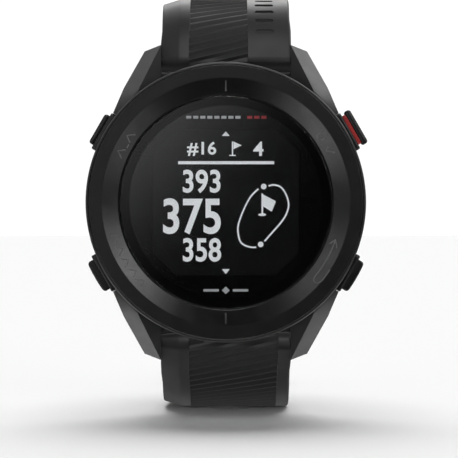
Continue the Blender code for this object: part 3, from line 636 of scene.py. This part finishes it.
def make_picture():
    """Everything lit on the display by a painted glow: yardages, header, flags, and the green's
    outline.
    """
    height = PANEL_TOP + 0.01
    bm = bmesh.new()
    for text, low, high in (
            ("#16", (-6.07, 7.24), (-1.5, 9.5)), ("4", (4.3, 7.24), (5.9, 9.5)),
            ("393", (-6.74, 1.42), (-0.83, 5.1)), ("375", (-9.83, -5.05), (-0.78, 0.62)),
            ("358", (-6.74, -9.33), (-0.73, -5.6))):
        add_number(bm, text, low, high, height)
    up_arrow = [(0, 11.09), (-0.62, 10.37), (0.62, 10.37)]
    down_arrow = [(0, -11.25), (0.62, -10.48), (-0.62, -10.48)]
    header_line = rectangle((-7.47, 5.94), (7.57, 6.43))
    dots = [arc(centre, 0.44, 0, 345, 24) for centre in ((5.94, 2.45), (5.46, -6.61))]
    flag = [[(5.84, 1.2), (7.85, 0.14), (7.2, -1.48), (5.84, -0.66)],
            [(5.58, 1.35), (5.58, -1.9), (5.86, -1.9), (5.86, 1.35)],
            [(5.7 + 0.62 * math.cos(a), -1.95 + 0.22 * math.sin(a))
             for a in [math.tau * i / 20 for i in range(20)]]]
    header_flag = [rectangle((0.95, 7.24), (1.15, 9.5)), [(1.2, 9.5), (1.2, 8.3), (2.5, 8.9)],
                   [(0.55, 7.24), (0.55, 7.42), (1.55, 7.42), (1.55, 7.24)]]
    for outline in [up_arrow, down_arrow, header_line] + dots + flag + header_flag:
        prism(bm, outline, height, height + INK)
    left = [(5.10, 2.09), (3.92, 0.90), (2.90, -0.95), (2.06, -3.15), (1.89, -4.51),
            (2.22, -6.04), (2.90, -6.71), (3.92, -7.05), (4.76, -7.05)]
    right = [(6.69, 2.53), (7.47, 2.70), (8.49, 2.43), (9.33, 1.42), (9.84, -0.28),
             (9.50, -1.79), (8.66, -3.15), (7.47, -4.51), (6.05, -6.13)]
    for line in (left, right):
        ribbon(bm, smooth_line(line), 0.26, lambda x, y: (x, y, height + INK))
    finish_piece("display_picture", bm, WATCH, "lit", "watch_head", smooth=None)


def make_prints():
    """Black rim under the lens, and the marks above and below the display."""
    bm = bmesh.new()
    low = LENS_LOW + 0.005
    lathe(bm, [(15.1, low), (16.5, low), (16.5, low + INK), (15.1, low + INK)])
    finish_piece("lens_rim_print", bm, WATCH, "print", "watch_head")

    def dashes(first, count):
        return [rectangle((first + 1.1 * i, 13.05), (first + 1.1 * i + 0.8, 13.5))
                for i in range(count)]

    lozenge = [(-0.62, -13.79), (0, -13.2), (0.62, -13.79), (0, -14.38)]
    bars = [rectangle((-3.5, -13.98), (-1.1, -13.6)), rectangle((1.1, -13.98), (3.5, -13.6))]
    marks = bars + [lozenge]
    for name, look, outlines in (("face_dashes_white", "white", dashes(-6.2, 8) + marks),
                                 ("face_dashes_red", "crimson", dashes(3.35, 3))):
        bm = bmesh.new()
        for outline in outlines:
            prism(bm, outline, MASK_TOP, MASK_TOP + INK)
        finish_piece(name, bm, WATCH, look, "watch_head", smooth=None)


def make_buttons():
    """Caps on stems, each in a collar; the OK button has a red ring under its cap."""
    outward = turn(90, "Y")
    # name, radius of the outer face, radius of the foot, half the length, face follows the case
    for name, face, foot, half, rounded in (
            ("up", 23.45, 22.45, 2.65, False), ("ok", 24.2, 23.15, 3.0, False),
            ("down", 23.8, 22.45, 2.65, True), ("back", 23.8, 22.45, 2.65, True)):
        place = button_frame(name)
        if rounded:
            spread = math.degrees(math.asin((half - 0.3) / face))
            shoulder = face * math.cos(math.radians(spread)) - 0.3
            side = [(shoulder, half)] + arc((0, 0), face, spread, -spread, 17)
            outline = [(foot, half)] + side + [(shoulder, -half), (foot, -half)]
        else:
            corner = 0.45
            side = arc((face - corner, half - corner), corner, 90, 0, 6)
            outline = [(foot, half)] + side + [(x, -y) for x, y in reversed(side)] + [(foot, -half)]
        bm = bmesh.new()
        prism(bm, outline, -1.3, 1.3)
        cap = finish_piece(name + "_button_head", bm, place, "button", name + "_button",
                           (name + "_button",))
        soften(cap, 0.34, 4)
        add(cap, rod(0.65, 17.2, foot + 0.5, steps=24), place)  # stem

        bm = bmesh.new()
        prism(bm, rounded_rectangle(3.7, 6.5, 0.4), 21.3, 22.6, outward)
        collar = finish_piece(name + "_button_collar", bm, place, "button", "watch_head",
                              (name + "_collar",))
        soften(collar, 0.22, 3)
        add(collar, rod(1.65, 17.9, 21.75, steps=32), place)  # sleeve
        bm = bmesh.new()
        prism(bm, rounded_rectangle(2.8, 5.5, 0.5), 21.85, 24.6, outward)
        cut(collar, bm, place)  # room for the cap
        cut(collar, rod(1.25, 17.0, 22.6, steps=32), place)  # bore
    bm = bmesh.new()
    ring_prism(bm, rounded_rectangle(2.3, 5.2, 0.5), arc((0, 0), 0.8, 2, 362 - 360 / 32, 32),
               22.45, 23.25, outward)
    ring = finish_piece("ok_button_red_ring", bm, button_frame("ok"), "red", "ok_button",
                        ("ok_button_ring",))
    soften(ring, 0.1, 2)


# ---------------------------------------------------------------- strap

WIDTH, END_WIDTH = 20.3, 18.0
THICK, END_THICK = 3.2, 2.6
TAPER_START, TAPER_LENGTH = 22.0, 30.0
TIP = 8.0  # length of the rounded tip
FLARE, FLARE_END, FLARE_FADE = 0.018, 7.0, 3.0  # extra width at the lugs, gone at a length
CHAMFER, CHAMFER_DEPTH = 3.0, 1.05  # of one long edge only

# The outer face starts at an angle round the spring bar, then runs on in (length, bend) pieces
UPPER_ANGLE, UPPER_RUNS = 28, ((1.4, 0), (17.5, 62), (36.6, 28), (26.0, 0))
LOWER_ANGLE, LOWER_RUNS = 38, ((1.35, 0), (20.0, 52), (46.0, 0), (45.4, 20))
BEAD, BEAD_EXTRA, BEAD_TURN = 1.8, 0.2, 1.9  # first and added radius, and length per radian
LOOP_EXTRA, LOOP_TURN = 0.25, 1.45  # the same at the buckle, where half the strap is the radius
UPPER_RIBS, LOWER_RIBS = (-5.7, 3.4), (-5.7, 8.1)  # the ribbed band, across the strap

# A rib rises over the first share of the pitch, is level up to the second, then falls
RIB_PITCH, RIB_DEPTH, RIB_SLANT = 1.4, 0.36, math.tan(math.radians(16))
RIB_RISE, RIB_CREST = 0.42, 0.46
RIB_MARGIN = 3.0  # smooth length after the last rib
RIB_EASE = 4.0  # length over which the slant fades out towards both ends

PIN_RADIUS, BAR_RADIUS = 0.85, 0.95  # bores for the buckle's bar and for a spring bar


def clamp(value):
    return min(max(value, 0.0), 1.0)


class Path:
    """Outer face of a strap half, seen from its side, in the hinge frame."""

    def __init__(self, angle, runs):
        start = math.radians(angle)
        self.marks = [(0.0, BEAD * math.sin(start), BEAD * math.cos(start), start)]
        for length, bend in runs:
            count = max(int(abs(bend) * 2), 2)
            for _ in range(count):
                walked, y, z, at = self.marks[-1]
                half = math.radians(bend) / count / 2
                chord = length / count * (math.sin(half) / half if half else 1.0)
                y += chord * math.cos(at + half)
                z -= chord * math.sin(at + half)
                self.marks.append((walked + length / count, y, z, at + 2 * half))
        self.total = self.marks[-1][0]

    def at(self, s):
        """(y, z, angle) a length along the outer face."""
        for before, after in zip(self.marks, self.marks[1:]):
            if s <= after[0]:
                part = max((s - before[0]) / (after[0] - before[0]), 0.0)
                return tuple(a + (b - a) * part for a, b in zip(before[1:], after[1:]))
        return self.marks[-1][1:]

    def thickness(self, s):
        return THICK + (END_THICK - THICK) * clamp(s / self.total)


def half_width(s):
    return (WIDTH + (END_WIDTH - WIDTH) * clamp((s - TAPER_START) / TAPER_LENGTH)) / 2


def rib(phase):
    """Depth below the crests: a rise to a narrow level crest, then a slightly longer fall."""
    phase -= math.floor(phase)
    if phase < RIB_RISE:
        return RIB_DEPTH * (1 - phase / RIB_RISE)
    if phase < RIB_CREST:
        return 0.0
    return RIB_DEPTH * (phase - RIB_CREST) / (1 - RIB_CREST)


def section(half, thick, ribs):
    """(x, depth, in the ribbed band) round the strap, with the wide chamfer on the low x side."""
    low, high = ribs
    wide = CHAMFER * half / (WIDTH / 2)
    rounding = ((0.45, 0), (0.2, 0.06), (0.06, 0.2), (0, 0.45))
    corners = [(half - x, y) for x, y in rounding]
    corners += [(half - x, thick - y) for x, y in reversed(rounding)]
    corners += [(-half + x, thick - y) for x, y in rounding]
    points = [(-half, CHAMFER_DEPTH, False), (-half + 0.12, 0.86, False),
              (-half + wide - 0.3, 0.06, False), (-half + wide, 0, False), (low - 0.02, 0, False)]
    points += [(low + (high - low) * i / 6, 0, True) for i in range(7)]
    points += [(high + 0.02, 0, False)]
    return points + [(x, y, False) for x, y in corners]


def rib_stops(start, finish):
    """Start, and every length where a rib has a corner or the middle of a flank."""
    phases = (0.0, RIB_RISE / 2, RIB_RISE, RIB_CREST, (1 + RIB_CREST) / 2)
    first, last = math.floor(start / RIB_PITCH), math.ceil(finish / RIB_PITCH)
    stops = [(k + phase) * RIB_PITCH for k in range(first, last) for phase in phases]
    return [start] + [s for s in stops if start + 0.05 < s < finish - 0.05]


def make_outer(path):
    """Outer face of a strap half with its two ends, which fold round a bar each."""
    first_y, first_z, first_angle = path.at(0)
    last_y, last_z, last_angle = path.at(path.total)
    radius_end = path.thickness(path.total) / 2

    def outer(s):
        """Outer face point, the point that its inner face folds to, and the outward direction."""
        if s < 0:
            at = first_angle + s / BEAD_TURN
            radius = BEAD + BEAD_EXTRA * min(-s / 1.2, 1.0)
            fold = Vector((0, first_y - THICK * math.sin(first_angle),
                           first_z - THICK * math.cos(first_angle)))
            return (Vector((0, radius * math.sin(at), radius * math.cos(at))), fold,
                    Vector((0, math.sin(at), math.cos(at))))
        if s > path.total:
            beyond = s - path.total
            at = last_angle + beyond / LOOP_TURN
            radius = radius_end + LOOP_EXTRA * min(beyond, 1.0)
            centre = Vector((0, last_y - radius_end * math.sin(last_angle),
                             last_z - radius_end * math.cos(last_angle)))
            fold = centre - radius_end * Vector((0, math.sin(last_angle), math.cos(last_angle)))
            out = Vector((0, math.sin(at), math.cos(at)))
            return centre + radius * out, fold, out
        y, z, at = path.at(s)
        return Vector((0, y, z)), None, Vector((0, math.sin(at), math.cos(at)))

    return outer


def strap_mesh(path, mirrored, ribs, tip):
    """Loft of a strap half from its bead round the spring bar to its tip or its buckle loop."""
    side = -1 if mirrored else 1
    start = 0.25 - math.pi * BEAD_TURN  # just under half a turn back round the spring bar
    if tip:
        finish = limit = path.total - TIP
    else:
        finish, limit = path.total + math.pi * LOOP_TURN, path.total
    rib_end = limit - RIB_MARGIN
    steps = [(s, 1.0) for s in rib_stops(start, finish)]
    if tip:
        steps += [(finish + TIP * math.sin(a), math.cos(a))
                  for a in [math.radians(86) * i / 14 for i in range(15)]]
    else:
        steps.append((finish, 1.0))

    outer = make_outer(path)
    bm = bmesh.new()
    rings = []
    for stop, share in steps:
        ease = clamp((stop - start) / RIB_EASE) * clamp((limit - stop) / RIB_EASE)
        flare = 1.0 + FLARE * clamp((FLARE_END - stop) / FLARE_FADE)
        half, thick = half_width(stop), path.thickness(stop)
        ring = []
        for x, depth, ribbed in section(half, thick, ribs):
            s = stop + side * RIB_SLANT * min(max(x, ribs[0]), ribs[1]) * ease
            s = min(max(s, start), stop if share < 1 else math.inf)
            sink = depth
            if ribbed and s < rib_end:
                sink += rib((s - side * RIB_SLANT * x) / RIB_PITCH)
            point, fold, out = outer(s)
            if fold is None:
                place = point - out * sink
            else:
                place = point + (fold - point) * (depth / thick) - out * (sink - depth)
            place.x = x * share * flare * side
            ring.append(bm.verts.new(place))
        rings.append(ring)
    for here, there in zip(rings, rings[1:]):
        for i in range(len(here)):
            after = (i + 1) % len(here)
            bm.faces.new((here[i], here[after], there[after], there[i]))
    bm.faces.new(rings[0])
    bm.faces.new(rings[-1])
    bmesh.ops.remove_doubles(bm, verts=bm.verts, dist=0.0005)
    return bm


def make_band(name, path, hinge, angle, mirrored, ribs, tip):
    """Strap half with its bore for the spring bar and the notch of the release lever."""
    bm = strap_mesh(path, mirrored, ribs, tip)
    strap = finish_piece(name + "_band", bm, hinge, "strap", name, (name,),
                         smooth=28)
    place = hinge @ turn(-angle, "X")
    cut(strap, rod(BAR_RADIUS, -13, 13, steps=32), place)
    cut(strap, block((5.1, -1.25, -4.0), (8.2, 1.25, -0.2)), place)
    return strap


def punch(strap, hinge, path, stops, outline, low, high, across=0.0):
    """Cut the same hole at each of the lengths, from low to high about the outer face."""
    bm = bmesh.new()
    for s in stops:
        y, z, at = path.at(s)
        prism(bm, outline, low, high,
              Matrix.Translation((across, y, z)) @ Matrix.Rotation(-at, 4, "X"))
    cut(strap, bm, hinge)


def make_upper_strap():
    """Half with seven recessed bars, the buckle and the keepers."""
    path = Path(UPPER_ANGLE, UPPER_RUNS)
    strap = make_band("upper_strap", path, UPPER_HINGE, UPPER_ANGLE, False, UPPER_RIBS, False)
    punch(strap, UPPER_HINGE, path, [4.4 + 2.5 * i for i in range(7)], stadium(3.0, 0.95),
          -0.3, 1.0, across=6.1)
    y, z, at = path.at(path.total)
    buckle = (UPPER_HINGE @ shift(0, y, z) @ Matrix.Rotation(-at, 4, "X")
              @ shift(0, 0, -END_THICK / 2))
    cut(strap, block((-3.0, -2.75, -2.6), (3.0, 4.0, 2.6)), buckle)  # room for the tang
    cut(strap, rod(PIN_RADIUS, -12, 12, steps=32), buckle)
    make_buckle(buckle)
    make_keepers(buckle)


def make_lower_strap():
    """Half with twelve slots and a rounded tip."""
    path = Path(LOWER_ANGLE, LOWER_RUNS)
    strap = make_band("lower_strap", path, LOWER_HINGE, LOWER_ANGLE, True, LOWER_RIBS, True)
    punch(strap, LOWER_HINGE, path, [20.2 + 7.0 * i for i in range(12)], stadium(6.6, 1.9),
          -6.0, 3.0)


def make_buckle(place):
    """Loop and tang; X along the bar, Y away from the strap, Z out."""
    outer, inner, end, back = 11.2, 9.3, 12.0, -1.7
    far = end - 2.0
    right = (arc((outer - 0.6, back + 0.6), 0.6, -90, 0, 5)
             + arc((outer - 2.2, end - 2.2), 2.2, 0, 90, 10))
    inside = ([(-inner, back)] + arc((-inner + 1.0, far - 1.0), 1.0, 180, 90, 6)
              + arc((inner - 1.0, far - 1.0), 1.0, 90, 0, 6) + [(inner, back)])
    bm = bmesh.new()
    prism(bm, right + [(-x, y) for x, y in reversed(right)] + inside, -1.3, 1.3)
    body = finish_piece("buckle_loop", bm, place, "buckle", "buckle_frame", ("buckle_frame",))
    soften(body, 0.3, 3)
    cut(body, rod(PIN_RADIUS, -10.8, 10.8, steps=32), place)
    cut(body, block((-3.0, 8.0, 0.9), (3.0, 14.0, 2.6)), place)  # rest of the tang

    outline = arc((0, 0), 1.5, 62, 320, 26)
    outline += [(4.6, 1.2), (11.4, 1.2), (11.7, 1.5), (11.2, 2.1), (3.6, 2.1), (1.9, 1.9)]
    bm = bmesh.new()
    prism(bm, outline, -2.7, 2.7)
    tang = finish_piece("buckle_pin", bm, place @ turn(90, "Z") @ turn(90, "X"), "buckle",
                        "buckle_tang", ("buckle_tang",))
    soften(tang, 0.16, 3)
    cut(tang, rod(PIN_RADIUS, -6, 6, steps=32), place)


def make_keepers(place):
    """Two loops round the strap, in the frame of the buckle."""
    low, high, wall = -END_THICK / 2 - 0.35, END_THICK / 2 + 2.9, 1.2
    width, height = END_WIDTH + 0.5, high - low
    for name, at, body in (("fixed_keeper", -6.5, "upper_strap"),
                           ("free_keeper", -16.5, "free_keeper")):
        bm = bmesh.new()
        ring_prism(bm, rounded_rectangle(width + 2 * wall, height + 2 * wall, 1.5),
                   rounded_rectangle(width, height, 0.5), -2.5, 2.5)
        matrix = place @ shift(0, at, (low + high) / 2) @ turn(90, "X")
        loop = finish_piece(name + "_loop", bm, matrix, "strap", body, (name,))
        soften(loop, 0.45, 4)


# ---------------------------------------------------------------- frame looks, studio, camera

NODE_LOOKS = {
    "plastic": ("charge_port", "display_frame", "up_switch", "ok_switch", "down_switch",
                "back_switch"),
    "case": ("back_cover",),
    "steel": ("case_screw_1", "case_screw_2", "case_screw_3", "case_screw_4", "rf_shield",
              "upper_bar_tube", "upper_bar_fixed_pin", "upper_bar_sliding_pin",
              "upper_bar_spring", "lower_bar_tube", "lower_bar_fixed_pin",
              "lower_bar_sliding_pin", "lower_bar_spring"),
    "gold": ("contact_pin_1", "contact_pin_2", "contact_pin_3", "contact_pin_4", "gps_antenna"),
    "board": ("main_board",),
    "pouch": ("battery",),
    "guide": ("backlight_guide",),
    "rubber": ("lens_gasket", "back_gasket", "up_seal", "ok_seal", "down_seal", "back_seal"),
    "buckle": ("buckle_bar",),
}


def dress_frame():
    """Give a look to every CAD solid that no visible piece replaces."""
    for look, names in NODE_LOOKS.items():
        for name in names:
            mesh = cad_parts[name].data
            mesh.materials.clear()
            mesh.materials.append(LOOKS[look])


def make_studio():
    """Plain white for the camera; for everything else a surround that is shaded part by part.

    It is darker in front of the face, behind, below and overhead, and has four soft lights round
    the camera and a faint sheen over the upper left of the face.
    """
    world = bpy.data.worlds.new("studio")
    scene.world = world
    world.use_nodes = True
    nodes, links = world.node_tree.nodes, world.node_tree.links
    nodes.clear()
    direction = nodes.new("ShaderNodeTexCoord").outputs["Generated"]

    def along(vector):
        node = nodes.new("ShaderNodeVectorMath")
        node.operation = "DOT_PRODUCT"
        links.new(direction, node.inputs[0])
        node.inputs[1].default_value = vector
        return node.outputs["Value"]

    def step(value, low, high, out_low, out_high, kind="SMOOTHSTEP"):
        node = nodes.new("ShaderNodeMapRange")
        node.interpolation_type = kind
        set_inputs(node, From_Min=low, From_Max=high, To_Min=out_low, To_Max=out_high)
        links.new(value, node.inputs["Value"])
        return node.outputs["Result"]

    def pair(operation, first, second):
        node = nodes.new("ShaderNodeMath")
        node.operation = operation
        links.new(first, node.inputs[0])
        links.new(second, node.inputs[1])
        return node.outputs["Value"]

    front, up = along((0, -1, 0)), along((0, 0, 1))
    total = step(front, 0.2, 0.92, 0.75, 0.015)
    for shade in (step(up, -0.15, 0.05, 0.24, 1.0), step(up, 0.1, 0.6, 1.0, 0.2),
                  step(front, -1.0, -0.5, 0.2, 1.0)):
        total = pair("MULTIPLY", total, shade)
    tilt = math.radians(24)  # from the camera to the middle of each soft light
    rim, core = math.cos(math.radians(11)), math.cos(math.radians(4))
    for angle, strength in ((35, 4.2), (215, 2.6), (330, 1.3), (145, 1.7)):
        a = math.radians(angle)
        centre = (math.sin(tilt) * math.cos(a), -math.cos(tilt), math.sin(tilt) * math.sin(a))
        total = pair("ADD", total, step(along(centre), rim, core, 0.0, strength))
    upper_left = (-math.sqrt(0.5), 0, math.sqrt(0.5))
    sheen = step(along(upper_left), -0.002, 0.043, 0.0, 0.8, "LINEAR")
    sheen = pair("MULTIPLY", pair("MULTIPLY", sheen, sheen), step(front, 0.97, 0.993, 0.0, 1.0))
    total = pair("ADD", total, sheen)

    studio = nodes.new("ShaderNodeBackground")
    links.new(total, studio.inputs["Strength"])
    backdrop = nodes.new("ShaderNodeBackground")
    mix = nodes.new("ShaderNodeMixShader")
    links.new(nodes.new("ShaderNodeLightPath").outputs["Is Camera Ray"], mix.inputs["Fac"])
    links.new(studio.outputs["Background"], mix.inputs[1])
    links.new(backdrop.outputs["Background"], mix.inputs[2])
    for node in (studio, backdrop):
        node.inputs["Color"].default_value = (1, 1, 1, 1)
    backdrop.inputs["Strength"].default_value = 1.05
    output = nodes.new("ShaderNodeOutputWorld")
    links.new(mix.outputs["Shader"], output.inputs["Surface"])


def make_lamps():
    """Wide sun that throws the shadow forward, and gleams that are seen only as reflections.

    A gleam stands in for a softbox. It neither lights anything diffusely nor casts a shadow.
    """
    def lamp(name, direction, strength, spread):
        """Sun in a direction from the watch, as many degrees wide as the spread."""
        data = bpy.data.lights.new(name, "SUN")
        data.energy = strength
        data.angle = math.radians(spread)
        obj = bpy.data.objects.new(name, data)
        obj.rotation_euler = Vector(direction).to_track_quat("Z", "Y").to_euler()
        scene.collection.objects.link(obj)
        return obj

    lamp("overhead", (0, 0.77, 0.64), 4.2, 44).visible_glossy = False
    gleams = (
        ((0, -0.57, 0.82), 1.0, 24), ((0, 0.78, 0.63), 1.1, 30),  # upper strap half
        ((0, -0.24, -0.97), 0.2, 24), ((0, 0.78, -0.63), 0.12, 30),  # lower strap half
        ((0.64, 0.33, 0.7), 0.95, 34), ((-0.64, 0.33, 0.7), 0.35, 34),  # lugs and buttons
        ((-0.64, 0.33, -0.7), 0.6, 34), ((0.64, 0.33, -0.7), 0.45, 34),
    )
    for i, (direction, strength, spread) in enumerate(gleams):
        gleam = lamp(f"gleam_{i + 1}", direction, strength, spread)
        gleam.visible_diffuse = False
        gleam.data.use_shadow = False


def make_floor():
    """White ground just under the part, which catches its shadow."""
    size = 12.0  # metres
    bm = bmesh.new()
    level = cad_box[0].z - 0.1 * MM
    corners = ((-size, -size), (size, -size), (size, size), (-size, size))
    bm.faces.new([bm.verts.new((x, y, level)) for x, y in corners])
    mesh = bpy.data.meshes.new("floor")
    bm.to_mesh(mesh)
    bm.free()
    floor = bpy.data.objects.new("floor", mesh)
    scene.collection.objects.link(floor)
    material, nodes, links = new_material("floor_white")
    shader = nodes["Principled BSDF"]
    set_inputs(shader, Roughness=0.9)
    shader.inputs["Specular IOR Level"].default_value = 0.0
    shader.inputs["Base Color"].default_value = (0.92, 0.92, 0.92, 1)
    mesh.materials.append(material)
    floor.visible_glossy = False
    floor.visible_transmission = False
    floor.visible_shadow = False


def make_camera():
    """Long lens straight in front of the face, fitted to the outline in the photo."""
    data = bpy.data.cameras.new("camera")
    data.lens = 226.9
    data.sensor_width = 36.0
    data.clip_start, data.clip_end = 0.01, 50.0
    camera = bpy.data.objects.new("camera", data)
    camera.location = (0.0005, -0.4615, -0.0042)
    camera.rotation_euler = (math.pi / 2, 0, 0)
    scene.collection.objects.link(camera)
    scene.camera = camera


scene.view_settings.view_transform = "Standard"
make_camera()
make_studio()
make_lamps()
make_floor()
dress_frame()
make_case()
make_bezel()
make_lens()
make_mask()
make_panel()
make_picture()
make_prints()
make_buttons()
make_upper_strap()
make_lower_strap()
